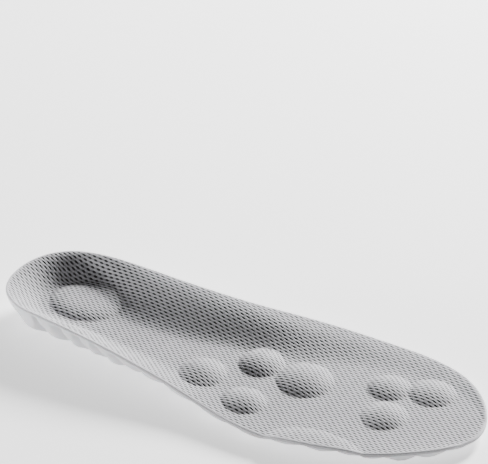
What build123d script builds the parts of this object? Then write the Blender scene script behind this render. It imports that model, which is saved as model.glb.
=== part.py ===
"""Cushioned insole, right foot: mesh top cover, bonding film and moulded foam body.

Frame: +X from heel to toe, +Y towards the inner (medial) side of the foot, +Z up.
The origin is the middle of the overall length and width, on the surface the insole rests on.
All sizes are in millimetres.
"""

from build123d import *
from math import cos, hypot, radians, sin, sqrt
import os

# ---- driving dimensions ------------------------------------------------------------------

LENGTH = 260.0              # heel to toe, the full outline before any trimming
COVER_THICKNESS = 1.1       # knitted mesh, pressed
FILM_THICKNESS = 0.2        # hot-melt bonding film
BLOCK_HEIGHT = 40.0         # taller than any point of the insole

HEEL_Y = -4.8               # centre line of the heel
HEEL_RADIUS = 31.0          # the back of the heel is close to a half circle
HEEL_X = HEEL_RADIUS - LENGTH / 2

# Outline, as points from the heel round the outer side, the toe and the inner side.
OUTER_EDGE = [(-123.5, -22.8), (-113, -30), (-100, -33.8), (-75, -35.8), (-40, -37.9), (-10, -40.6),
              (12, -44), (32, -46.4), (52, -45.6), (73, -41.3), (93.5, -33), (112, -20.5), (125, -7.5)]
TOE_TIP = (129.9, 4.5)
INNER_EDGE = [(-124, 13.8), (-114, 21.3), (-101, 24.6), (-82, 25.8), (-55, 26), (-30, 27.8), (-5, 32.5),
              (20, 39.4), (42, 44), (66, 46.4), (84, 45.8), (101, 41.8), (116, 32.5), (126.5, 19)]
HEEL_TIP = (-LENGTH / 2, HEEL_Y)

# Height of the upper face along the foot, as (x, z): down the middle and at the two edges.
FLOOR_HEIGHT = [(-130, 9.0), (-60, 9.0), (-20, 8.4), (20, 7.0), (60, 6.0), (130, 5.6)]
OUTER_RIM = [(-130, 18.5), (-95, 20.5), (-60, 18.2), (-25, 13.5), (5, 9.0), (35, 6.8), (80, 6.2),
             (130, 6.2)]
INNER_RIM = [(-130, 18.5), (-95, 20.5), (-60, 20.5), (-30, 19.0), (0, 15.5), (30, 11.0), (60, 7.8),
             (130, 6.4)]
# Where the rise to each edge starts, as a share of the half width.
OUTER_START = [(-130, 0.40), (-60, 0.45), (0, 0.55), (40, 0.60), (130, 0.70)]
INNER_START = [(-130, 0.40), (-75, 0.35), (-35, 0.0), (10, 0.05), (45, 0.45), (130, 0.70)]
FACE_STEPS = (55, 22)       # points along and across the grid that shapes the upper face
FACE_REACH = (134.0, 52.0)  # the grid overhangs the outline

# Massage domes in the upper face: centre x, y, half length, half width, height, and the power of the
# profile, which is 2 for a round crown and 4 for a flat one.
DOMES = [(-91, -1.5, 19.5, 15, 2.6, 4), (-8, -20, 12, 11.5, 3.6, 2), (21, -28, 11.5, 10, 3.4, 2),
         (12, 1, 11.5, 11, 3.8, 2), (37, 0.5, 14.5, 13.5, 4.2, 2), (74.5, 16, 11, 10, 3.0, 2),
         (94.5, 22.5, 12, 10.5, 3.0, 2), (84, -4, 11.5, 11, 3.2, 2), (71, -45, 27, 17, 2.2, 4),
         (-75, -27, 15, 6.5, 1.2, 2)]
DOME_EDGE = 1.15            # power that rounds off the foot of each dome

# Underside. The core fills the foam above the creases between the cells.
CREASE_HEIGHT = 3.4
CORE_SCALE = (0.95, 0.86)
CELL_DEPTH = 12.0           # height of each cell's cap, inside the core
# Plain bubble cells between the pads and the rim: x, y.
BUBBLES = [(-69, -21), (-55, -25), (-57, -11), (-40, -17), (-60, 5), (-46, -4), (-45, 7), (-33, -1.5),
           (-34, 11), (-20, 9), (-5, 5), (5, 16), (18, 13), (33, 15), (73, -22), (78, -13), (74, 27),
           (94, 12), (102, 3), (100, -16)]
BUBBLE = (21.0, 12.0, 0.2)  # sphere radius, reach from its centre, lowest point
HEEL_PAD = (-92, -5.5)
HEEL_PAD_CELL = (95.0, 26.0, -0.35)
# Perforated pads: x, y, holes along each side of the lattice, whether the two end holes are left out.
PADS = [(-15, -11, 3, False), (3, -26, 3, True), (11, -4, 3, True), (25, -21, 2, False), (33, -1, 2, False),
        (45, -31, 2, False), (51, -13, 3, False), (58, 14, 4, True), (87, -6, 3, False)]
PAD_CELL = (34.0, 16.0, -0.35)

# Ventilation holes on a skewed lattice.
HOLE_RADIUS = 1.2
COUNTERSINK_RADIUS = 1.9
HOLE_PITCH = 6.7
HEEL_HOLE_PITCH = 7.8
HEEL_HOLE_ROWS = 4
LATTICE_ANGLE = 30

# Rim cells, which bulge from the underside up the flared side wall.
OUTER_RIM_CELLS = [-84, -69, -58, -46, -32, -16, 1, 22, 40, 57, 74, 90]
INNER_RIM_CELLS = [-93, -84, -75, -64, -51, -38, -24, -9, 7, 22, 38, 53, 68, 83]
HEEL_RIM_ANGLES = [112, 132, 152, 172, 192, 214, 240]
TOE_CENTRE = (92, 4)
TOE_RIM_ANGLES = [-62, -36, -12, 12, 36, 60, 82]
TOE_REACH = (34, 38)
RIM_CELL_RADIUS = 14.5
RIM_CELL_LOW = 0.7
RIM_OVERHANG = 0.5          # the outline cuts this much off each rim cell

# Lower limit of the solid foam at the edge, above the rim cells, as (x, z) on each side.
OUTER_EDGE_LINE = [(-131, 15.0), (-95, 16.8), (-60, 14.6), (-25, 10.2), (5, 6.0), (35, 3.9), (131, 3.4)]
INNER_EDGE_LINE = [(-131, 15.0), (-95, 16.8), (-60, 16.8), (-30, 15.3), (0, 12.0), (30, 7.6), (60, 4.8),
                   (131, 3.6)]
SIDES_MEET_Y = -4.0
EDGE_BLOCK_Y = 50.0


# ---- shape rules -------------------------------------------------------------------------


def along(stations, x):
    """Value at x of the smooth curve through the stations."""
    last = len(stations) - 1
    i = 0
    while i < last - 1 and x > stations[i + 1][0]:
        i += 1
    (x0, v0), (x1, v1) = stations[i], stations[i + 1]
    before = stations[max(i - 1, 0)]
    after = stations[min(i + 2, last)]
    slope0 = (v1 - before[1]) / (x1 - before[0]) * (x1 - x0)
    slope1 = (after[1] - v0) / (after[0] - x0) * (x1 - x0)
    t = min(1.0, max(0.0, (x - x0) / (x1 - x0)))
    start = (2 * t**3 - 3 * t**2 + 1) * v0 + (t**3 - 2 * t**2 + t) * slope0
    return start + (3 * t**2 - 2 * t**3) * v1 + (t**3 - t**2) * slope1


def rise(reach, start, height):
    """Rise towards the rim: level at first, then steep, and easing off at the edge."""
    t = min(1.0, max(0.0, (reach - start) / (1 - start)))
    return height * t * t * (2.1 - 1.1 * t)


def top_height(x, y):
    """Height of the cover's upper face."""
    side_x = max(x, HEEL_X)
    outer = along(OUTER_EDGE, side_x)
    inner = along(INNER_EDGE, side_x)
    across = (2 * y - outer - inner) / (inner - outer)
    behind = (side_x - x) / HEEL_RADIUS
    reach = hypot(across, behind)
    floor = along(FLOOR_HEIGHT, x)
    outer_rise = rise(reach, along(OUTER_START, x), along(OUTER_RIM, x) - floor)
    inner_rise = rise(reach, along(INNER_START, x), along(INNER_RIM, x) - floor)
    if behind > 0:
        inner_share = 0.5 + 0.5 * across / reach
        height = floor + outer_rise * (1 - inner_share) + inner_rise * inner_share
    else:
        height = floor + (inner_rise if across > 0 else outer_rise)
    for dome_x, dome_y, half_length, half_width, dome_height, crown in DOMES:
        away = hypot((x - dome_x) / half_length, (y - dome_y) / half_width)
        height += dome_height * max(0.0, 1 - away**crown) ** DOME_EDGE
    return height


def upper_face(drop):
    """The upper face, lowered by drop, as one smooth sheet that overhangs the outline."""
    points = []
    for i in range(FACE_STEPS[0]):
        x = FACE_REACH[0] * (2 * i / (FACE_STEPS[0] - 1) - 1)
        row = []
        for j in range(FACE_STEPS[1]):
            y = FACE_REACH[1] * (2 * j / (FACE_STEPS[1] - 1) - 1)
            row.append(Vector(x, y, top_height(x, y)))
        points.append(row)
    face = Face.make_surface_from_array_of_points(points, tol=0.05, smoothing=(1, 1, 1), max_deg=5)
    return face.moved(Location((0, 0, -drop)))


def cell(x, y, radius, reach, low):
    """The lower cap of a sphere about x, y: one bubble of the underside."""
    with BuildPart(Plane((x, y, low))) as bubble:
        with Locations((0, 0, radius)):
            Sphere(radius)
        Cylinder(reach, CELL_DEPTH, align=(Align.CENTER, Align.CENTER, Align.MIN), mode=Mode.INTERSECT)
    return bubble.part


def rim_cell(x, y, edge_line, inward):
    """A whole sphere that meets the outline at x, y, at the height of the edge line there."""
    height = RIM_CELL_RADIUS + RIM_CELL_LOW
    inset = sqrt(RIM_CELL_RADIUS**2 - (height - along(edge_line, x)) ** 2) - RIM_OVERHANG
    centre = Vector(x, y) + inward.normalized() * inset
    with BuildPart() as bubble:
        with Locations((centre.X, centre.Y, height)):
            Sphere(RIM_CELL_RADIUS)
    return bubble.part


def rim_cells():
    """All cells round the edge: the two sides, the back of the heel and the toe."""
    made = [rim_cell(x, along(OUTER_EDGE, x), OUTER_EDGE_LINE, Vector(0, 1)) for x in OUTER_RIM_CELLS]
    made += [rim_cell(x, along(INNER_EDGE, x), INNER_EDGE_LINE, Vector(0, -1)) for x in INNER_RIM_CELLS]
    for angle in HEEL_RIM_ANGLES:
        out = Vector(cos(radians(angle)), sin(radians(angle)))
        place = Vector(HEEL_X, HEEL_Y) + out * HEEL_RADIUS
        made.append(rim_cell(place.X, place.Y, OUTER_EDGE_LINE, out * -1))
    for angle in TOE_RIM_ANGLES:
        out = Vector(TOE_REACH[0] * cos(radians(angle)), TOE_REACH[1] * sin(radians(angle)))
        place = Vector(*TOE_CENTRE) + out
        made.append(rim_cell(place.X, place.Y, OUTER_EDGE_LINE, out * -1))
    return made


def edge_block(lower_line, low_y, high_y):
    """Everything above the given line of (x, z) points, between two values of y."""
    end_x = lower_line[-1][0]
    with BuildPart() as block:
        with BuildSketch(Plane.XZ.offset(-high_y)):
            with BuildLine():
                Polyline(*lower_line, (end_x, BLOCK_HEIGHT), (-end_x, BLOCK_HEIGHT), close=True)
            make_face()
        extrude(amount=high_y - low_y)
    return block.part


def lattice(x, y, rows, ends_left_out, pitch):
    """Centres of a square group of holes, skewed to LATTICE_ANGLE, about x, y."""
    places = []
    middle = (rows - 1) / 2
    for a in range(rows):
        for b in range(rows):
            if ends_left_out and a == b and a in (0, rows - 1):
                continue
            step_x = (a + b - 2 * middle) * cos(radians(LATTICE_ANGLE))
            step_y = (b - a) * sin(radians(LATTICE_ANGLE))
            places.append((x + pitch * step_x, y + pitch * step_y))
    return places


def holes_in(x, y, rows, ends_left_out, pitch, pad):
    """Places for the countersunk holes of one pad, each at the pad's surface and facing down."""
    radius, _, low = pad
    places = []
    for hole_x, hole_y in lattice(x, y, rows, ends_left_out, pitch):
        away = hypot(hole_x - x, hole_y - y)
        surface = max(0.0, low + radius - sqrt(radius**2 - away**2))
        places.append(Location(Plane((hole_x, hole_y, surface), x_dir=(1, 0, 0), z_dir=(0, 0, -1))))
    return places


# ---- outline -----------------------------------------------------------------------------

with BuildSketch() as outline:
    with BuildLine():
        Spline(*OUTER_EDGE, TOE_TIP, *INNER_EDGE[::-1], HEEL_TIP, periodic=True)
    make_face()

foam_drop = COVER_THICKNESS + FILM_THICKNESS

# ---- mesh top cover ----------------------------------------------------------------------

with BuildPart() as mesh_top_cover:
    add(outline.sketch)
    extrude(amount=BLOCK_HEIGHT)
    extrude(upper_face(0), amount=-COVER_THICKNESS, dir=(0, 0, 1), mode=Mode.INTERSECT)

# ---- bonding film ------------------------------------------------------------------------

with BuildPart() as bonding_film:
    add(outline.sketch)
    extrude(amount=BLOCK_HEIGHT)
    extrude(upper_face(COVER_THICKNESS), amount=-FILM_THICKNESS, dir=(0, 0, 1), mode=Mode.INTERSECT)

# ---- foam body ---------------------------------------------------------------------------

cells = [cell(x, y, *BUBBLE) for x, y in BUBBLES]
cells += [cell(x, y, *PAD_CELL) for x, y, _, _ in PADS]
cells.append(cell(*HEEL_PAD, *HEEL_PAD_CELL))
cells += rim_cells()
edge_blocks = [edge_block(OUTER_EDGE_LINE, -EDGE_BLOCK_Y, SIDES_MEET_Y),
               edge_block(INNER_EDGE_LINE, SIDES_MEET_Y, EDGE_BLOCK_Y)]
hole_places = holes_in(*HEEL_PAD, HEEL_HOLE_ROWS, False, HEEL_HOLE_PITCH, HEEL_PAD_CELL)
for pad_x, pad_y, hole_rows, ends_left_out in PADS:
    hole_places += holes_in(pad_x, pad_y, hole_rows, ends_left_out, HOLE_PITCH, PAD_CELL)

with BuildPart() as under_cover:
    add(outline.sketch)
    extrude(amount=BLOCK_HEIGHT)
    extrude(upper_face(foam_drop), amount=-BLOCK_HEIGHT, dir=(0, 0, 1), mode=Mode.INTERSECT)

with BuildPart() as foam_body:
    with BuildSketch(Plane.XY.offset(CREASE_HEIGHT)):
        add(outline.sketch)
        scale(by=(*CORE_SCALE, 1), mode=Mode.REPLACE)
    extrude(amount=BLOCK_HEIGHT)
    add(cells + edge_blocks)
    add(under_cover.part, mode=Mode.INTERSECT)
    with Locations(*hole_places):
        CounterSinkHole(HOLE_RADIUS, COUNTERSINK_RADIUS, depth=BLOCK_HEIGHT)

# ---- write the parts ---------------------------------------------------------------------

os.makedirs("parts", exist_ok=True)
pieces = {"mesh_top_cover": mesh_top_cover, "bonding_film": bonding_film, "foam_body": foam_body}
for name, piece in pieces.items():
    piece.part.label = name
    export_step(piece.part, f"parts/{name}.step")
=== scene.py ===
"""Cushioned insole, right foot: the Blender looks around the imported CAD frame.

Shapes are worked out in millimetres, in the part's own frame, and written to meshes in metres.
The outline, the inner cells and the holes are those of the CAD part. The upper face differs from the
CAD part's on the arch side, by up to 4 mm in height, and the outer and heel rim cells by up to 10 mm
along the edge.
"""

import math

import bmesh
import bpy
import numpy as np
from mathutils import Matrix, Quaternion, Vector
from mathutils.geometry import delaunay_2d_cdt


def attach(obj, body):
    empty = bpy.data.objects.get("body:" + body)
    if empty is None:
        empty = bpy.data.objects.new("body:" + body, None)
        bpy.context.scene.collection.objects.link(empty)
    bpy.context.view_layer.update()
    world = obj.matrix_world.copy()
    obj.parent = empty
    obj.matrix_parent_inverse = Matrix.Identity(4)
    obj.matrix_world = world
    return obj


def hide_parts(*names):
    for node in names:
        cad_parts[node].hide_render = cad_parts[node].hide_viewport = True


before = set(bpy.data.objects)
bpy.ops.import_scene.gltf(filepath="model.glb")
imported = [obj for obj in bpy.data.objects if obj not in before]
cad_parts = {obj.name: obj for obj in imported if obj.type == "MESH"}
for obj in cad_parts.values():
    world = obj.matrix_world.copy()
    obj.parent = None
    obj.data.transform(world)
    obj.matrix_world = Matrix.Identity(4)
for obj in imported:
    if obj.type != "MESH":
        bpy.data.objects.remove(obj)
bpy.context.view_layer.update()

MM = 0.001

# ---- shape of the part, in millimetres ----------------------------------------------------

HALF_LENGTH = 130.0
HEEL_Y = -4.8
HEEL_RADIUS = 31.0
HEEL_X = HEEL_RADIUS - HALF_LENGTH
OUTER_EDGE = [(-123.5, -22.8), (-113, -30), (-100, -33.8), (-75, -35.8), (-40, -37.9), (-10, -40.6),
              (12, -44), (32, -46.4), (52, -45.6), (73, -41.3), (93.5, -33), (112, -20.5), (125, -7.5)]
TOE_TIP = (129.9, 4.5)
INNER_EDGE = [(-124, 13.8), (-114, 21.3), (-101, 24.6), (-82, 25.8), (-55, 26), (-30, 27.8), (-5, 32.5),
              (20, 39.4), (42, 44), (66, 46.4), (84, 45.8), (101, 41.8), (116, 32.5), (126.5, 19)]
HEEL_TIP = (-HALF_LENGTH, HEEL_Y)

# Stations along the foot: x and the height of the middle or of a rim, or x and the share of the half
# width where the rise to that rim starts and ends.
FLOOR_HEIGHT = [(-130, 9.0), (-60, 9.0), (-20, 8.4), (20, 7.0), (60, 6.0), (130, 5.6)]
OUTER_RIM = [(-130, 18.5), (-95, 20.5), (-60, 18.2), (-25, 13.5), (5, 9.0), (35, 6.8), (80, 6.2), (130, 6.2)]
INNER_RIM = [(-130, 18.5), (-95, 20.5), (-60, 20.5), (-30, 19.0), (0, 15.5), (30, 11.0), (60, 7.8),
             (130, 6.4)]
OUTER_START = [(-130, 0.40), (-60, 0.45), (0, 0.55), (40, 0.60), (130, 0.70)]
INNER_START = [(-130, 0.40), (-95, 0.40), (-65, 0.02), (-35, 0.04), (0, 0.22), (25, 0.28), (50, 0.48),
               (130, 0.70)]
INNER_END = [(-130, 1.0), (-50, 1.0), (-20, 0.92), (8, 0.84), (35, 0.88), (130, 1.0)]
RISE_EASE = 1.1
# Domes: x, y, half length, half width, height, and the power that sets how flat the crown is.
DOMES = [(-91, -1.5, 19.5, 15, 2.6, 4), (-8, -20, 12, 11.5, 3.6, 2), (21, -28, 11.5, 10, 3.4, 2),
         (12, 1, 11.5, 11, 3.8, 2), (37, 0.5, 14.5, 13.5, 4.2, 2), (74.5, 16, 11, 10, 3.0, 2),
         (94.5, 22.5, 12, 10.5, 3.0, 2), (84, -4, 11.5, 11, 3.2, 2), (71, -45, 27, 17, 2.2, 4),
         (-75, -27, 15, 6.5, 1.2, 2)]
DOME_EDGE = 1.02

COVER_THICKNESS = 1.1
FILM_THICKNESS = 0.2
FOAM_DROP = COVER_THICKNESS + FILM_THICKNESS

# Underside cells: sphere radius and lowest point.
BUBBLES = [(-69, -21), (-55, -25), (-57, -11), (-40, -17), (-60, 5), (-46, -4), (-45, 7), (-33, -1.5),
           (-34, 11), (-20, 9), (-5, 5), (5, 16), (18, 13), (33, 15), (73, -22), (78, -13), (74, 27),
           (94, 12), (102, 3), (100, -16)]
BUBBLE = (21.0, 0.2)
HEEL_PAD = (-92, -5.5)
HEEL_PAD_CELL = (95.0, -0.35)
# Perforated pads: x, y, holes along each side of the group, and whether its two end holes are left out.
PADS = [(-15, -11, 3, False), (3, -26, 3, True), (11, -4, 3, True), (25, -21, 2, False), (33, -1, 2, False),
        (45, -31, 2, False), (51, -13, 3, False), (58, 14, 4, True), (87, -6, 3, False)]
PAD_CELL = (34.0, -0.35)
HOLE_RADIUS = 1.2
COUNTERSINK_RADIUS = 1.9
COUNTERSINK_DEPTH = 0.8
HOLE_PITCH = 6.7
HEEL_HOLE_PITCH = 7.8
HEEL_HOLE_ROWS = 4
LATTICE_ANGLE = 30
CREASE_HEIGHT = 3.4
CREASE_SOFTNESS = 0.16

# Rim cells: x along the outer and the inner edge, and angles round the heel and the toe.
OUTER_RIM_CELLS = [-90.5, -76.5, -65.5, -54, -40.5, -26, -6, 16.5, 36.5, 53, 70, 83.5, 93]
INNER_RIM_CELLS = [-93, -84, -75, -64, -51, -38, -24, -9, 7, 22, 38, 53, 68, 83]
HEEL_RIM_ANGLES = [112, 132, 152, 172, 194, 220, 250]
TOE_CENTRE = (92, 4)
TOE_RIM_ANGLES = [-62, -36, -12, 12, 36, 60, 82]
TOE_REACH = (34, 38)
RIM_CELL_RADIUS = 14.5
RIM_CELL_HEIGHT = RIM_CELL_RADIUS + 0.7
RIM_OVERHANG = 0.5
EDGE_LIP = 0.14
# Every rim cell is squeezed or stretched along the edge, to bulge as one of this half width would.
RIM_CELL_HALF_WIDTH = 9.6
# The foot of the wall leans in by this share of the wall's height, fading out towards the middle.
FLARE = 0.19
FLARE_HEIGHT = 0.35
FLARE_INSET = (6.0, 24.0)

# Trim lines and size numbers under the toe.
SIZES = [39, 38, 37, 36, 35]
LENGTHS = [250, 245, 240, 235, 230]
SIZE_STEP = 5.0
TRIM_MARGIN = 7.0
TRIM_WIDTH = 0.75
TRIM_RISE = 0.34
TRIM_END_INSET = 5.0
TRIM_HOLE_GAP = 0.6
TOE_START = 78.0
NUMBER_ROWS = (3.4, 7.2)
NUMBER_GAP = (0.0, 8.0)
NUMBER_SIZE = 3.2
NUMBER_NARROWING = 0.85
NUMBER_RISE = 0.22

# Knit of the cover: rows of openings, alternate rows offset by half of the repeat. An opening has a
# half length and a half width.
KNIT_REPEAT = 3.72
KNIT_ROW = 1.40
KNIT_TURN = math.radians(-2.5)
OPENING = (1.25, 0.44)
OPENING_SLANT = 0.08
OPENING_DEPTH = 0.18
OPENING_SHARPNESS = 3.4
# The openings close towards the pressed edge, over this range of distances from it.
PRESSED_EDGE = (0.5, 2.4)
RIB_RISE = 0.10
# Single yarns run along the ribs, a third of a millimetre apart.
YARN_PITCH = 0.33

OUTLINE_COUNT = 900
POINTS_PER_SPAN = 60
# Points handled at a time, to spare memory, and the height that stands for no cell over a point.
CHUNK = 4000
FAR_ABOVE = 60.0


# ---- curves and heights ---------------------------------------------------------------------


def along(stations, x):
    """Value at each x of the smooth curve through the stations."""
    places, values = (np.array(column, float) for column in zip(*stations))
    x = np.asarray(x, float)
    last = len(places) - 1
    i = np.clip(np.searchsorted(places, x, side="left") - 1, 0, last - 1)
    before, after = np.maximum(i - 1, 0), np.minimum(i + 2, last)
    step = places[i + 1] - places[i]
    slope0 = (values[i + 1] - values[before]) / (places[i + 1] - places[before]) * step
    slope1 = (values[after] - values[i]) / (places[after] - places[i]) * step
    t = np.clip((x - places[i]) / step, 0, 1)
    start = (2 * t**3 - 3 * t**2 + 1) * values[i] + (t**3 - 2 * t**2 + t) * slope0
    return start + (3 * t**2 - 2 * t**3) * values[i + 1] + (t**3 - t**2) * slope1


def smooth_step(t):
    """Runs smoothly from 0 to 1 as t does."""
    t = np.clip(t, 0, 1)
    return t * t * (3 - 2 * t)


def rise(reach, start, height):
    """Rise towards the rim: level at first, then steep, and easing off at the edge."""
    t = np.clip((reach - start) / (1 - start), 0, 1)
    return height * t * t * (1 + RISE_EASE - RISE_EASE * t)


def bank(reach, start, end, height):
    """Rise of the arch side: level at first, then steep, and level again before the edge."""
    return height * smooth_step((reach - start) / (end - start))


def top_height(x, y):
    """Height of the cover's upper face, without its knit."""
    side_x = np.maximum(x, HEEL_X)
    outer, inner = along(OUTER_EDGE, side_x), along(INNER_EDGE, side_x)
    across = (2 * y - outer - inner) / (inner - outer)
    behind = (side_x - x) / HEEL_RADIUS
    reach = np.maximum(np.hypot(across, behind), 1e-9)
    floor = along(FLOOR_HEIGHT, x)
    outer_rise = rise(reach, along(OUTER_START, x), along(OUTER_RIM, x) - floor)
    inner_rise = bank(reach, along(INNER_START, x), along(INNER_END, x), along(INNER_RIM, x) - floor)
    inner_share = np.where(behind > 0, 0.5 + 0.5 * across / reach, across > 0)
    height = floor + outer_rise * (1 - inner_share) + inner_rise * inner_share
    for dome_x, dome_y, half_length, half_width, dome_height, crown in DOMES:
        away = np.hypot((x - dome_x) / half_length, (y - dome_y) / half_width)
        height = height + dome_height * np.maximum(0, 1 - away**crown) ** DOME_EDGE
    return height


def closed_curve(points, count):
    """Evenly spaced points on the closed cubic spline through the given points."""
    points = np.array(points, float)
    n = len(points)
    step = np.linalg.norm(np.roll(points, -1, axis=0) - points, axis=1)
    matrix, right = np.zeros((n, n)), np.zeros((n, 2))
    for i in range(n):
        before, after = step[i - 1], step[i]
        matrix[i, i - 1] = after
        matrix[i, i] = 2 * (before + after)
        matrix[i, (i + 1) % n] = before
        right[i] = 3 * (after * (points[i] - points[i - 1]) / before
                        + before * (points[(i + 1) % n] - points[i]) / after)
    slope = np.linalg.solve(matrix, right)
    fine = []
    for i in range(n):
        t = np.linspace(0, 1, POINTS_PER_SPAN, endpoint=False)[:, None]
        following = (i + 1) % n
        fine.append((2 * t**3 - 3 * t**2 + 1) * points[i] + (t**3 - 2 * t**2 + t) * slope[i] * step[i]
                    + (3 * t**2 - 2 * t**3) * points[following] + (t**3 - t**2) * slope[following] * step[i])
    fine = np.vstack(fine)
    run = np.r_[0, np.cumsum(np.linalg.norm(np.roll(fine, -1, axis=0) - fine, axis=1))]
    wanted = np.linspace(0, run[-1], count, endpoint=False)
    loop = np.vstack([fine, fine[:1]])
    return np.column_stack([np.interp(wanted, run, loop[:, k]) for k in (0, 1)])


def inward_normals(loop):
    """Unit normals that point into a loop that runs anticlockwise."""
    ahead = np.roll(loop, -1, axis=0) - np.roll(loop, 1, axis=0)
    normals = np.column_stack([-ahead[:, 1], ahead[:, 0]])
    return normals / np.linalg.norm(normals, axis=1)[:, None]


def nearest_on(loop, points):
    """Index of the loop's nearest point, for each point."""
    nearest = np.empty(len(points), int)
    for start in range(0, len(points), CHUNK):
        part = points[start:start + CHUNK]
        nearest[start:start + CHUNK] = ((part[:, None] - loop[None]) ** 2).sum(2).argmin(1)
    return nearest


def inset_of(points, loop, normals):
    """How far inside the loop each point is, by the loop's nearest point."""
    nearest = nearest_on(loop, points)
    return ((points - loop[nearest]) * normals[nearest]).sum(1)


OUTLINE = closed_curve(OUTER_EDGE + [TOE_TIP] + INNER_EDGE[::-1] + [HEEL_TIP], OUTLINE_COUNT)
INWARD = inward_normals(OUTLINE)
EDGE_TOP = top_height(OUTLINE[:, 0], OUTLINE[:, 1])


# ---- underside ------------------------------------------------------------------------------


def rim_inset(edge_z):
    """How far inside the outline a rim cell's centre lies, under an edge of foam at height edge_z."""
    start = edge_z * (1 - EDGE_LIP)
    return np.sqrt(RIM_CELL_RADIUS**2 - (RIM_CELL_HEIGHT - start) ** 2) - RIM_OVERHANG


def rim_places():
    """Where each rim cell meets the outline, with the way in from there, in order round the edge."""
    places = [((x, float(along(OUTER_EDGE, x))), (0, 1)) for x in OUTER_RIM_CELLS]
    for angle in TOE_RIM_ANGLES:
        turn = math.radians(angle)
        out = np.array([TOE_REACH[0] * math.cos(turn), TOE_REACH[1] * math.sin(turn)])
        places.append((np.array(TOE_CENTRE) + out, -out / np.linalg.norm(out)))
    places += [((x, float(along(INNER_EDGE, x))), (0, -1)) for x in reversed(INNER_RIM_CELLS)]
    for angle in HEEL_RIM_ANGLES:
        out = np.array([math.cos(math.radians(angle)), math.sin(math.radians(angle))])
        places.append((np.array([HEEL_X, HEEL_Y]) + out * HEEL_RADIUS, -out))
    return [(np.array(place, float), np.array(inward, float)) for place, inward in places]


def rim_cells():
    """Rows of x, y, sphere radius, lowest point, direction along the edge, stretch along the edge."""
    places = rim_places()
    rows = []
    for i, (place, inward) in enumerate(places):
        before, after = places[i - 1][0], places[(i + 1) % len(places)][0]
        half_width = (np.linalg.norm(place - before) + np.linalg.norm(after - place)) / 4
        edge_z = top_height(*place[:, None])[0] - FOAM_DROP
        centre = place + inward * rim_inset(edge_z)
        low = RIM_CELL_HEIGHT - RIM_CELL_RADIUS
        rows.append((*centre, RIM_CELL_RADIUS, low, -inward[1], inward[0], RIM_CELL_HALF_WIDTH / half_width))
    return np.array(rows)


RIM_CELLS = rim_cells()
INNER_CELLS = ([(x, y, *BUBBLE, 1, 0, 1) for x, y in BUBBLES]
               + [(x, y, *PAD_CELL, 1, 0, 1) for x, y, _, _ in PADS]
               + [(*HEEL_PAD, *HEEL_PAD_CELL, 1, 0, 1)])
CELLS = np.vstack([INNER_CELLS, RIM_CELLS])


def soft_least(heights, softness=CREASE_SOFTNESS):
    """The least of several heights at each point, with a softly rounded crease between them."""
    least = heights.min(axis=0)
    return least - softness * np.log(np.exp(-(heights - least) / softness).sum(axis=0))


def cell_heights(x, y):
    """Height of each cell's lower surface over each point."""
    off_x, off_y = x[None] - CELLS[:, 0, None], y[None] - CELLS[:, 1, None]
    along_edge = off_x * CELLS[:, 4, None] + off_y * CELLS[:, 5, None]
    away = off_x**2 + off_y**2 + (CELLS[:, 6, None] ** 2 - 1) * along_edge**2
    radius = CELLS[:, 2, None]
    inside = np.maximum(radius**2 - away, 0)
    return np.where(inside > 0, CELLS[:, 3, None] + radius - np.sqrt(inside), FAR_ABOVE)


def under_height(x, y):
    """Height of the foam's underside, before the wall leans in."""
    heights = np.vstack([cell_heights(x, y), np.full((1, len(x)), CREASE_HEIGHT)])
    return np.maximum(soft_least(heights), 0.0)


def lean_in(points):
    """Moves the foot of the wall inwards, and takes the cells beside it along."""
    nearest = nearest_on(OUTLINE, points[:, :2])
    inset = ((points[:, :2] - OUTLINE[nearest]) * INWARD[nearest]).sum(1)
    edge_z = EDGE_TOP[nearest] - FOAM_DROP
    near = 1 - smooth_step((inset - FLARE_INSET[0]) / (FLARE_INSET[1] - FLARE_INSET[0]))
    low = 1 - smooth_step((points[:, 2] / edge_z - FLARE_HEIGHT) / (1 - FLARE_HEIGHT))
    moved = points.copy()
    moved[:, :2] += INWARD[nearest] * (FLARE * edge_z * near * low)[:, None]
    return moved


def lattice(x, y, rows, ends_left_out, pitch):
    """Centres of a square group of holes, skewed to LATTICE_ANGLE, about x, y."""
    places = []
    for a in range(rows):
        for b in range(rows):
            if ends_left_out and a == b and a in (0, rows - 1):
                continue
            step_x = (a + b - (rows - 1)) * math.cos(math.radians(LATTICE_ANGLE))
            step_y = (b - a) * math.sin(math.radians(LATTICE_ANGLE))
            places.append((x + pitch * step_x, y + pitch * step_y))
    return places


def hole_centres():
    """Centres of all ventilation holes."""
    places = lattice(*HEEL_PAD, HEEL_HOLE_ROWS, False, HEEL_HOLE_PITCH)
    for pad_x, pad_y, rows, ends_left_out in PADS:
        places += lattice(pad_x, pad_y, rows, ends_left_out, HOLE_PITCH)
    return np.array(places)


# ---- mesh building --------------------------------------------------------------------------

JOIN_DISTANCE = 0.002
LEAST_EDGE = 0.001
FOAM_SHARP_ANGLE = 42.0
COVER_SHARP_ANGLE = 60.0
FILM_SHARP_ANGLE = 50.0


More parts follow.
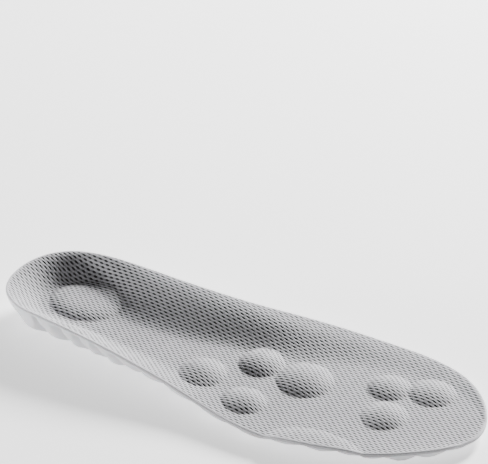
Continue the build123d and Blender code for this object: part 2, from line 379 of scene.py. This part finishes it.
class Shell:
    """Vertices and faces, in millimetres, gathered for one mesh."""

    def __init__(self):
        self.points = []
        self.faces = []
        self.count = 0

    def add(self, points, faces):
        """Adds points, and faces that count from the first of them."""
        points = np.asarray(points, float)
        self.points.append(points)
        self.faces += [tuple(int(k) + self.count for k in face) for face in faces]
        self.count += len(points)

    def add_strip(self, rings, closed=True, flip=False):
        """Quads between rings of equal length."""
        rings = [np.asarray(ring, float) for ring in rings]
        size = len(rings[0])
        faces = []
        for r in range(len(rings) - 1):
            for i in range(size if closed else size - 1):
                k = (i + 1) % size
                quad = (r * size + i, r * size + k, (r + 1) * size + k, (r + 1) * size + i)
                faces.append(quad[::-1] if flip else quad)
        self.add(np.vstack(rings), faces)

    def build(self, name, sharp_angle):
        """Makes the object, with matching points joined and sharp edges marked."""
        mesh = bpy.data.meshes.new(name)
        mesh.from_pydata((np.vstack(self.points) * MM).tolist(), [], self.faces)
        piece = bpy.data.objects.new(name, mesh)
        bpy.context.scene.collection.objects.link(piece)
        work = bmesh.new()
        work.from_mesh(mesh)
        bmesh.ops.remove_doubles(work, verts=work.verts, dist=JOIN_DISTANCE * MM)
        bmesh.ops.dissolve_degenerate(work, edges=work.edges, dist=LEAST_EDGE * MM)
        bmesh.ops.recalc_face_normals(work, faces=work.faces)
        limit = math.radians(sharp_angle)
        for edge in work.edges:
            if len(edge.link_faces) == 2 and edge.calc_face_angle(0.0) > limit:
                edge.smooth = False
        for face in work.faces:
            face.smooth = True
        work.to_mesh(mesh)
        work.free()
        return piece


def fill(loop, points, holes=()):
    """Triangles of the area inside a loop, through the given points and round the given hole loops."""
    places = [loop, *holes, points] if len(points) else [loop, *holes]
    all_points = np.vstack(places)
    edges, start = [], 0
    for ring in [loop, *holes]:
        size = len(ring)
        edges += [(start + i, start + (i + 1) % size) for i in range(size)]
        start += size
    result = delaunay_2d_cdt([Vector(p) for p in all_points], edges, [], 1, 1e-6)
    return np.array([tuple(v) for v in result[0]]), np.array(result[2])


def grid_inside(loop, step_x, step_y, margin, staggered=True):
    """Grid points inside a loop, at least margin from it."""
    low, high = loop.min(axis=0), loop.max(axis=0)
    columns = np.arange(math.floor(low[0] / step_x), math.ceil(high[0] / step_x) + 1)
    rows = np.arange(math.floor(low[1] / step_y), math.ceil(high[1] / step_y) + 1)
    x, y = np.meshgrid(columns * step_x, rows * step_y, indexing="ij")
    if staggered:
        y = y + (columns[:, None] % 2) * step_y / 2
    points = np.column_stack([x.ravel(), y.ravel()])
    return points[inset_of(points, loop, inward_normals(loop)) > margin]


# ---- foam body ------------------------------------------------------------------------------

# The wall is a fan of rings. Its creases reach CORE_REACH from the pivot line, and its height passes
# from the underside's own to the fan's over LEVEL_SHARE of the way up.
FAN_STEPS = 26
CORE_REACH = 11.3
LEVEL_SHARE = (0.30, 0.62)
LEAST_THICKNESS = 1.0
UNDER_GRID = 0.85
TRIANGLE_PITCH = 1.1547
UNDER_GRID_MARGIN = 0.45
SNAPPED_MARGIN = 0.3
SNAP_REACH = 0.42
SNAP_HEIGHT = 12
HOLE_SEGMENTS = 20
HOLE_END = 1.0
HOLE_MARGIN = 0.35
THROAT_LIP = 0.15
# Grid of the faces that no relief shows on, and its distance from the edge.
PLAIN_GRID = 2.5
PLAIN_MARGIN = 0.8
# Across a trim line: share of its width, and share of its height.
RIDGE_SECTION = [(-0.5, -0.4), (-0.3, 0.7), (0, 1), (0.3, 0.7), (0.5, -0.4)]


def fan_of_the_rim():
    """Rings of the wall, from straight under the pivot line out and up to the edge."""
    edge_z = EDGE_TOP - FOAM_DROP
    inset = rim_inset(edge_z)
    pivot = OUTLINE + INWARD * inset[:, None]
    start = np.column_stack([pivot, np.full(len(pivot), RIM_CELL_HEIGHT)])
    edgewise = RIM_CELLS[:, None, 4:6]
    squeeze = RIM_CELLS[:, 6, None] ** 2 - 1
    offset = pivot[None] - RIM_CELLS[:, None, :2]
    offset_edgewise = (offset * edgewise).sum(2)
    size = (offset**2).sum(2) + squeeze * offset_edgewise**2 - RIM_CELL_RADIUS**2
    last = np.arctan2(edge_z - RIM_CELL_HEIGHT, inset)
    core = np.full((1, len(pivot)), CORE_REACH)
    rings = []
    for k in range(FAN_STEPS):
        share = k / FAN_STEPS
        angle = -math.pi / 2 + (last + math.pi / 2) * share
        flat, up = np.cos(angle), np.sin(angle)
        ray = np.column_stack([-INWARD * flat[:, None], up])
        ray_edgewise = (ray[None, :, :2] * edgewise).sum(2)
        square = 1 + squeeze * ray_edgewise**2
        cross = (offset * ray[None, :, :2]).sum(2) + squeeze * offset_edgewise * ray_edgewise
        inside = cross**2 - square * size
        reach = np.where(inside > 0, (np.sqrt(np.maximum(inside, 0)) - cross) / square, 0.0)
        reach = -soft_least(-np.vstack([reach, core]))
        wall = inset / np.maximum(flat, 1e-6)
        lip_start = edge_z * (1 - EDGE_LIP)
        lip = smooth_step((RIM_CELL_HEIGHT + up * wall - lip_start) / (edge_z - lip_start))
        reach = np.minimum(reach, wall)
        ring = start + ray * (reach + (wall - reach) * lip)[:, None]
        level = under_height(ring[:, 0], ring[:, 1])
        low = 1 - smooth_step((share - LEVEL_SHARE[0]) / (LEVEL_SHARE[1] - LEVEL_SHARE[0]))
        ring[:, 2] += (level - ring[:, 2]) * low
        roof = top_height(ring[:, 0], ring[:, 1]) - FOAM_DROP - LEAST_THICKNESS
        ring[:, 2] = np.minimum(ring[:, 2], roof)
        rings.append(lean_in(ring))
    rings.append(np.column_stack([OUTLINE, edge_z]))
    return pivot, rings


def snap_to_creases(points):
    """Moves the points that lie close to a crease onto it."""
    x, y = points[:, 0], points[:, 1]
    heights = cell_heights(x, y)
    order = np.argsort(heights, axis=0)[:2]
    pick = np.arange(len(points))
    first, second = order[0], order[1]
    gap = heights[second, pick] - heights[first, pick]

    def slope(cell):
        off_x, off_y = x - CELLS[cell, 0], y - CELLS[cell, 1]
        squeeze = CELLS[cell, 6] ** 2 - 1
        along_edge = off_x * CELLS[cell, 4] + off_y * CELLS[cell, 5]
        off_x = off_x + squeeze * along_edge * CELLS[cell, 4]
        off_y = off_y + squeeze * along_edge * CELLS[cell, 5]
        down = CELLS[cell, 3] + CELLS[cell, 2] - heights[cell, pick]
        return np.column_stack([off_x, off_y]) / np.maximum(down, 1e-3)[:, None]

    gradient = slope(second) - slope(first)
    size = np.linalg.norm(gradient, axis=1)
    distance = gap / np.maximum(size, 1e-6)
    close = (distance < SNAP_REACH) & (heights[second, pick] < SNAP_HEIGHT)
    moved = points.copy()
    moved[close] -= gradient[close] / size[close, None] * distance[close, None]
    return moved


def add_hole(shell, centre, circle):
    """A countersunk ventilation hole, up to a little below the film."""
    mouth = centre + circle * COUNTERSINK_RADIUS
    mouth = lean_in(np.column_stack([mouth, under_height(mouth[:, 0], mouth[:, 1])]))
    centre = mouth[:, :2].mean(axis=0)
    base = mouth[:, 2].max() + COUNTERSINK_DEPTH
    end = top_height(*centre[:, None])[0] - FOAM_DROP - HOLE_END
    throat = centre + circle * HOLE_RADIUS
    levels = [mouth]
    for level in (base, base + THROAT_LIP, end):
        levels.append(np.column_stack([throat, np.full(len(circle), level)]))
    shell.add_strip(levels)
    shell.add(levels[-1], [tuple(range(len(circle)))])


def add_ridge(shell, path):
    """A thin raised line moulded on the underside along a path of x, y."""
    ahead = np.gradient(path, axis=0)
    side = np.column_stack([-ahead[:, 1], ahead[:, 0]]) / np.linalg.norm(ahead, axis=1)[:, None]
    rings = []
    for share, rise_share in RIDGE_SECTION:
        place = path + side * TRIM_WIDTH * share
        level = under_height(place[:, 0], place[:, 1]) - TRIM_RISE * rise_share
        rings.append(lean_in(np.column_stack([place, np.maximum(level, 0)])))
    bars = np.stack(rings, axis=1)
    shell.add_strip(list(bars))
    for end in (bars[0], bars[-1]):
        shell.add(end, [tuple(range(len(end)))])


def clear_of_holes(path):
    """The longer part of a path that has its points over a hole taken out."""
    away = np.sqrt(((path[:, None] - hole_centres()[None]) ** 2).sum(2)).min(1)
    blocked = np.flatnonzero(away < COUNTERSINK_RADIUS + TRIM_HOLE_GAP)
    if len(blocked) == 0:
        return path
    return max(path[:blocked[0]], path[blocked[-1] + 1:], key=len)


def add_trim_lines(shell):
    """Five lines that follow the toe, one for each size, with a gap for the size numbers."""
    toe = OUTLINE[OUTLINE[:, 0] > TOE_START][::2]
    toe = toe[np.argsort(np.arctan2(toe[:, 1] - TOE_CENTRE[1], toe[:, 0] - TOE_START))]
    for k in range(len(SIZES)):
        line = toe - (TRIM_MARGIN + SIZE_STEP * k, 0)
        line = line[inset_of(line, OUTLINE, INWARD) > TRIM_END_INSET]
        for part in (line[line[:, 1] < NUMBER_GAP[0]], line[line[:, 1] > NUMBER_GAP[1]]):
            add_ridge(shell, clear_of_holes(part))


def add_numbers(shell):
    """Size numbers beside the lines, in two rows, the right way round when read from below."""
    for row, texts in zip(NUMBER_ROWS, (SIZES, LENGTHS)):
        for k, text in enumerate(texts):
            curve = bpy.data.curves.new("number", "FONT")
            curve.body = str(text)
            curve.size = NUMBER_SIZE
            curve.align_x = "CENTER"
            curve.resolution_u = 2
            curve.extrude = NUMBER_RISE
            holder = bpy.data.objects.new("number", curve)
            mesh = bpy.data.meshes.new_from_object(holder)
            points = np.array([vertex.co for vertex in mesh.vertices])
            x = HALF_LENGTH - TRIM_MARGIN - SIZE_STEP * (k + 0.5) + points[:, 0] * NUMBER_NARROWING
            y = row - points[:, 1]
            level = under_height(x, y) - points[:, 2]
            shell.add(lean_in(np.column_stack([x, y, np.maximum(level, 0)])),
                      [tuple(face.vertices) for face in mesh.polygons])
            bpy.data.objects.remove(holder)
            bpy.data.curves.remove(curve)
            bpy.data.meshes.remove(mesh)


def make_foam():
    """The moulded foam: bubble cells, perforated pads, flared wall, trim lines and size numbers."""
    shell = Shell()
    pivot, rings = fan_of_the_rim()
    shell.add_strip(rings)

    centres = hole_centres()
    turn = np.linspace(0, 2 * math.pi, HOLE_SEGMENTS, endpoint=False)
    circle = np.column_stack([np.cos(turn), np.sin(turn)])
    points = grid_inside(pivot, UNDER_GRID, UNDER_GRID * TRIANGLE_PITCH, UNDER_GRID_MARGIN)
    points = snap_to_creases(points)
    points = points[inset_of(points, pivot, inward_normals(pivot)) > SNAPPED_MARGIN]
    away = np.sqrt(((points[:, None] - centres[None]) ** 2).sum(2)).min(1)
    points = points[away > COUNTERSINK_RADIUS + HOLE_MARGIN]
    flat, triangles = fill(pivot, points, [centre + circle * COUNTERSINK_RADIUS for centre in centres])
    middles = flat[triangles].mean(axis=1)
    kept = np.sqrt(((middles[:, None] - centres[None]) ** 2).sum(2)).min(1) > COUNTERSINK_RADIUS * 0.99
    shell.add(lean_in(np.column_stack([flat, under_height(flat[:, 0], flat[:, 1])])), triangles[kept])
    for centre in centres:
        add_hole(shell, centre, circle)

    flat, triangles = fill(OUTLINE, grid_inside(OUTLINE, PLAIN_GRID, PLAIN_GRID, PLAIN_MARGIN))
    shell.add(np.column_stack([flat, top_height(flat[:, 0], flat[:, 1]) - FOAM_DROP]), triangles)
    add_trim_lines(shell)
    add_numbers(shell)
    return shell.build("foam_insole_body", FOAM_SHARP_ANGLE)


# ---- cover and film -------------------------------------------------------------------------

RIM_ROUND = 1.3
RIM_STEPS = 6
RIM_DROP = RIM_ROUND * 0.85
RIM_OVER_BACK = 0.02
BACK_INSET = 0.1
FILM_INSET = 0.35
STEPS_PER_REPEAT = 7
STEPS_PER_ROW = 4
KNIT_MARGIN = 0.3


def openness(inset):
    """How open the knit is at a distance from the edge: 0 where it's pressed flat."""
    return smooth_step((inset - PRESSED_EDGE[0]) / (PRESSED_EDGE[1] - PRESSED_EDGE[0]))


def knit(x, y, inset):
    """Relief of the knit: openings in brickwork, and a rib of yarn between two rows."""
    lengthwise = x * math.cos(KNIT_TURN) + y * math.sin(KNIT_TURN)
    crosswise = y * math.cos(KNIT_TURN) - x * math.sin(KNIT_TURN)
    row = np.floor(crosswise / KNIT_ROW)
    v = (crosswise / KNIT_ROW - row - 0.5) * KNIT_ROW
    u = lengthwise / KNIT_REPEAT + 0.5 * (row % 2)
    u = (u - np.floor(u) - 0.5) * KNIT_REPEAT
    opening = np.clip(1 - (u / OPENING[0]) ** 2 - ((v + OPENING_SLANT * u) / OPENING[1]) ** 2, 0, 1)
    rib = 0.5 - 0.5 * np.cos(2 * math.pi * v / KNIT_ROW)
    return (RIB_RISE * rib - OPENING_DEPTH * opening) * openness(inset)


def make_cover():
    """The knitted cover: upper face with its knit in relief, rolled edge and smooth back."""
    shell = Shell()
    rings = []
    for k in range(RIM_STEPS + 1):
        turn = math.pi / 2 * k / RIM_STEPS
        inset = RIM_ROUND * (1 - math.sin(turn))
        loop = OUTLINE + INWARD * inset
        drop = RIM_DROP * (1 - math.cos(turn))
        relief = knit(loop[:, 0], loop[:, 1], inset)
        z = top_height(loop[:, 0], loop[:, 1]) + relief - drop
        if k == RIM_STEPS:
            z = np.maximum(z, EDGE_TOP - COVER_THICKNESS + RIM_OVER_BACK)
        rings.append(np.column_stack([loop, z]))
    back = np.column_stack([OUTLINE + INWARD * BACK_INSET, EDGE_TOP - COVER_THICKNESS])
    shell.add_strip([*rings, back], flip=True)
    inner = rings[0][:, :2]
    points = grid_inside(inner, KNIT_REPEAT / STEPS_PER_REPEAT, KNIT_ROW / STEPS_PER_ROW, KNIT_MARGIN,
                         staggered=False)
    flat, triangles = fill(inner, points)
    inset = inset_of(flat, OUTLINE, INWARD)
    z = top_height(flat[:, 0], flat[:, 1]) + knit(flat[:, 0], flat[:, 1], inset)
    shell.add(np.column_stack([flat, z]), triangles)
    flat, triangles = fill(back[:, :2], grid_inside(back[:, :2], PLAIN_GRID, PLAIN_GRID, PLAIN_MARGIN))
    z = top_height(flat[:, 0], flat[:, 1]) - COVER_THICKNESS
    z[:len(back)] = back[:, 2]
    shell.add(np.column_stack([flat, z]), triangles)
    cover = shell.build("knit_cover", COVER_SHARP_ANGLE)
    places = np.array([vertex.co for vertex in cover.data.vertices]) / MM
    share = openness(inset_of(places[:, :2], OUTLINE, INWARD))
    cover.data.attributes.new("openness", "FLOAT", "POINT").data.foreach_set("value", share)
    return cover


def make_film():
    """The bonding film, a little inside the outline, so that its edge, coloured dark as painted shade, reads
    as the parting line.
    """
    shell = Shell()
    loop = OUTLINE + INWARD * FILM_INSET
    flat, triangles = fill(loop, grid_inside(loop, PLAIN_GRID, PLAIN_GRID, PLAIN_MARGIN))
    top = top_height(flat[:, 0], flat[:, 1])
    upper = np.column_stack([flat, top - COVER_THICKNESS])
    lower = np.column_stack([flat, top - FOAM_DROP])
    count = len(loop)
    shell.add_strip([upper[:count], lower[:count]])
    shell.add(upper, triangles)
    shell.add(lower, triangles[:, ::-1])
    return shell.build("bonding_film_sheet", FILM_SHARP_ANGLE)


# ---- materials --------------------------------------------------------------------------------

YARN_DARK = (0.50, 0.495, 0.52)
YARN_LIGHT = (0.74, 0.735, 0.76)
YARN_PATCH = (0.50, 0.49, 0.52)
# Colour of the painted shade in the grooves between the ribs of the knit.
PAINTED_GROOVE_SHADE = (0.20, 0.198, 0.212)
# Near-black colour of the painted shade inside the openings of the knit.
OPENING_SHADE_COLOUR = (0.032, 0.031, 0.034)
FOAM_DARK = (0.60, 0.60, 0.625)
FOAM_LIGHT = (0.67, 0.67, 0.685)
FOAM_SPECK = (0.52, 0.52, 0.54)
# Painted shade of the seam between the cover and the foam, in a deep and a pale band.
FILM_SEAM_SHADE_DEEP = (0.10, 0.10, 0.11)
FILM_SEAM_SHADE_PALE = (0.30, 0.30, 0.31)
FLOOR_COLOUR = (0.86, 0.86, 0.86)


class Graph:
    """A material's nodes, with arithmetic on sockets written as calls."""

    def __init__(self, name):
        self.material = bpy.data.materials.new(name)
        self.material.use_nodes = True
        self.tree = self.material.node_tree
        self.shader = self.tree.nodes["Principled BSDF"]
        self.place = self.add("ShaderNodeTexCoord").outputs["Object"]

    def add(self, kind, **settings):
        node = self.tree.nodes.new(kind)
        for key, value in settings.items():
            setattr(node, key, value)
        return node

    def put(self, value, socket):
        if isinstance(value, bpy.types.NodeSocket):
            self.tree.links.new(value, socket)
        else:
            socket.default_value = value

    def math(self, operation, *values, clamp=False):
        node = self.add("ShaderNodeMath", operation=operation, use_clamp=clamp)
        for value, socket in zip(values, node.inputs):
            self.put(value, socket)
        return node.outputs[0]

    def axis(self, letter):
        """An object coordinate, in millimetres."""
        parts = self.add("ShaderNodeSeparateXYZ")
        self.put(self.place, parts.inputs[0])
        return self.math("MULTIPLY", parts.outputs[letter], 1 / MM)

    def noise(self, size, detail):
        """Noise from 0 to 1 whose grain is about size millimetres across."""
        node = self.add("ShaderNodeTexNoise")
        self.put(self.place, node.inputs["Vector"])
        node.inputs["Scale"].default_value = 1 / (size * MM)
        node.inputs["Detail"].default_value = detail
        return node.outputs["Fac"]

    def range(self, value, low, high, to_low, to_high):
        """Value moved from the range low to high into the range to_low to to_high, and kept in it."""
        node = self.add("ShaderNodeMapRange")
        for socket, item in zip(node.inputs, (value, low, high, to_low, to_high)):
            self.put(item, socket)
        return node.outputs[0]

    def mix(self, share, first, second):
        """Colour between the first, at share 0, and the second, at share 1."""
        node = self.add("ShaderNodeMix", data_type="RGBA")
        self.put(share, node.inputs[0])
        for colour, socket in ((first, node.inputs[6]), (second, node.inputs[7])):
            self.put((*colour, 1) if isinstance(colour, tuple) else colour, socket)
        return node.outputs[2]

    def bump(self, height, distance, strength):
        """Bump of the shader's surface; distance is in millimetres."""
        node = self.add("ShaderNodeBump")
        node.inputs["Strength"].default_value = strength
        node.inputs["Distance"].default_value = distance * MM
        self.put(height, node.inputs["Height"])
        self.put(node.outputs[0], self.shader.inputs["Normal"])

    def set(self, **inputs):
        """Sets the shader's inputs by name, and returns the material."""
        for name, value in inputs.items():
            socket = self.shader.inputs[name.replace("_", " ")]
            self.put((*value, 1) if isinstance(value, tuple) else value, socket)
        return self.material


def knit_material():
    """Polyester air mesh: pale ribs of yarn round openings in brickwork, with a faint sheen; the openings
    and the grooves between the ribs are darkened with painted shade.
    """
    graph = Graph("knitted_air_mesh")
    x, y = graph.axis("X"), graph.axis("Y")
    cosine, sine = math.cos(KNIT_TURN), math.sin(KNIT_TURN)
    lengthwise = graph.math("ADD", graph.math("MULTIPLY", x, cosine), graph.math("MULTIPLY", y, sine))
    crosswise = graph.math("SUBTRACT", graph.math("MULTIPLY", y, cosine), graph.math("MULTIPLY", x, sine))
    rows = graph.math("DIVIDE", crosswise, KNIT_ROW)
    row = graph.math("FLOOR", rows)
    v = graph.math("MULTIPLY", graph.math("SUBTRACT", graph.math("FRACT", rows), 0.5), KNIT_ROW)
    shift = graph.math("MULTIPLY", graph.math("FLOORED_MODULO", row, 2.0), 0.5)
    repeats = graph.math("ADD", graph.math("DIVIDE", lengthwise, KNIT_REPEAT), shift)
    u = graph.math("MULTIPLY", graph.math("SUBTRACT", graph.math("FRACT", repeats), 0.5), KNIT_REPEAT)
    slanted = graph.math("ADD", v, graph.math("MULTIPLY", u, OPENING_SLANT))
    long = graph.math("POWER", graph.math("ABSOLUTE", graph.math("DIVIDE", u, OPENING[0])), 2.0)
    high = graph.math("POWER", graph.math("ABSOLUTE", graph.math("DIVIDE", slanted, OPENING[1])), 2.0)
    opening = graph.math("SUBTRACT", 1.0, graph.math("ADD", long, high))
    opening = graph.math("MULTIPLY", opening, OPENING_SHARPNESS, clamp=True)
    share = graph.add("ShaderNodeAttribute", attribute_name="openness").outputs["Fac"]
    opening = graph.math("MULTIPLY", opening, share)
    yarns = graph.math("SINE", graph.math("MULTIPLY", slanted, 2 * math.pi / YARN_PITCH))
    fuzz = graph.noise(0.35, 3.0)
    patches = graph.noise(24.0, 2.0)
    pale = graph.mix(graph.range(fuzz, 0.3, 0.7, 0.0, 1.0), YARN_DARK, YARN_LIGHT)
    pale = graph.mix(graph.range(patches, 0.35, 0.65, 0.0, 0.25), pale, YARN_PATCH)
    # Painted shade: the yarn is darkened along the middle of each row, in the grooves between the raised
    # ribs, fading out where the knit is pressed flat.
    groove_shade = graph.math("COSINE", graph.math("MULTIPLY", v, 2 * math.pi / KNIT_ROW))
    groove_shade = graph.math("MULTIPLY", graph.range(groove_shade, -0.6, 1.0, 0.0, 0.80), share)
    pale = graph.mix(groove_shade, pale, PAINTED_GROOVE_SHADE)
    # Painted shade: the openings are coloured near black, for the shade inside them.
    colour = graph.mix(opening, pale, OPENING_SHADE_COLOUR)
    height = graph.math("ADD", graph.math("MULTIPLY", yarns, 0.22), fuzz)
    graph.bump(graph.math("SUBTRACT", height, graph.math("MULTIPLY", opening, 2.0)), 0.12, 0.8)
    return graph.set(Base_Color=colour, Roughness=0.80, Sheen_Weight=0.08, Sheen_Roughness=0.5)


def foam_material():
    """Moulded pale polyurethane: satin skin with very fine pores and faint mottling."""
    graph = Graph("moulded_foam")
    pores = graph.noise(0.5, 3.0)
    mottle = graph.noise(14.0, 3.0)
    colour = graph.mix(graph.range(mottle, 0.3, 0.7, 0.0, 1.0), FOAM_DARK, FOAM_LIGHT)
    speck = graph.range(graph.noise(0.9, 1.0), 0.70, 0.78, 0.0, 0.35)
    colour = graph.mix(speck, colour, FOAM_SPECK)
    graph.bump(pores, 0.10, 0.35)
    roughness = graph.range(mottle, 0.3, 0.7, 0.46, 0.58)
    return graph.set(Base_Color=colour, Roughness=roughness, Subsurface_Weight=0.12, Subsurface_Scale=0.003)


def film_material():
    """Hot-melt film: dark grey, in bands across it that look dotted along its thin edge; the dark colour is
    painted shade of the seam under the cover's edge.
    """
    graph = Graph("hot_melt_film_seam_shade")
    # Painted shade: bands across the film, so that the seam at its edge looks dark and dotted.
    seam_shade_bands = graph.math("SINE", graph.math("MULTIPLY", graph.axis("X"), 2 * math.pi * 2 / KNIT_REPEAT))
    colour = graph.mix(graph.range(seam_shade_bands, -0.4, 0.6, 0.0, 1.0), FILM_SEAM_SHADE_DEEP, FILM_SEAM_SHADE_PALE)
    return graph.set(Base_Color=colour, Roughness=0.5)


# ---- floor, camera and light ------------------------------------------------------------------

# Camera: place and aim in metres, roll in degrees, lens and sensor in millimetres.
CAMERA_PLACE = (0.7409, -1.0261, 0.9185)
CAMERA_AIM = (-0.0582, 0.0910, 0.008)
CAMERA_ROLL = -3.45
CAMERA_LENS = 238.3
CAMERA_SENSOR = 36
CAMERA_CLIP = (0.05, 20)
FLOOR_SIZE = 12
FLOOR_DROP = 0.0002
FLOOR_GLOW = 1.0
AMBIENT = 0.12


def make_floor():
    """A pale light table under the insole."""
    bpy.ops.mesh.primitive_plane_add(size=FLOOR_SIZE, location=(0, 0, -FLOOR_DROP))
    floor = bpy.context.object
    floor.name = "floor"
    light_table = Graph("light_table")
    light_table.set(Base_Color=FLOOR_COLOUR, Roughness=0.9)
    light_table.set(Emission_Color=(1.0, 1.0, 1.0), Emission_Strength=FLOOR_GLOW)
    floor.data.materials.append(light_table.material)


def make_camera():
    """Looks down at the insole from its outer side, with the toe to the right."""
    data = bpy.data.cameras.new("camera")
    camera = bpy.data.objects.new("camera", data)
    bpy.context.scene.collection.objects.link(camera)
    data.sensor_width = CAMERA_SENSOR
    data.lens = CAMERA_LENS
    data.clip_start, data.clip_end = CAMERA_CLIP
    camera.location = CAMERA_PLACE
    turn = (Vector(CAMERA_AIM) - Vector(CAMERA_PLACE)).to_track_quat("-Z", "Y")
    camera.rotation_mode = "QUATERNION"
    camera.rotation_quaternion = turn @ Quaternion((0, 0, 1), math.radians(CAMERA_ROLL))
    bpy.context.scene.camera = camera


def area_light(name, place, size, power):
    """A round soft light at a place in metres, aimed at the middle of the insole."""
    data = bpy.data.lights.new(name, "AREA")
    data.shape = "DISK"
    data.size = size
    data.energy = power
    light = bpy.data.objects.new(name, data)
    bpy.context.scene.collection.objects.link(light)
    light.location = place
    light.rotation_mode = "QUATERNION"
    light.rotation_quaternion = (-Vector(place)).to_track_quat("-Z", "Y")


def make_light():
    """Key light from behind the arch side, and a low light along the outer wall from the heel."""
    world = bpy.data.worlds.new("studio")
    bpy.context.scene.world = world
    world.use_nodes = True
    world.node_tree.nodes["Background"].inputs[0].default_value = (1, 1, 1, 1)
    world.node_tree.nodes["Background"].inputs[1].default_value = AMBIENT
    area_light("key", place=(0.02, 1.32, 0.64), size=0.45, power=98)
    area_light("side_fill", place=(-1.25, -0.55, 0.10), size=0.15, power=24)


foam = make_foam()
cover = make_cover()
film = make_film()
foam.data.materials.append(foam_material())
cover.data.materials.append(knit_material())
film.data.materials.append(film_material())
for piece, node, slot in ((foam, "foam_body", "foam"), (cover, "mesh_top_cover", "cover_mesh"),
                          (film, "bonding_film", "film")):
    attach(piece, "root")
    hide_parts(node)
make_floor()
make_camera()
make_light()
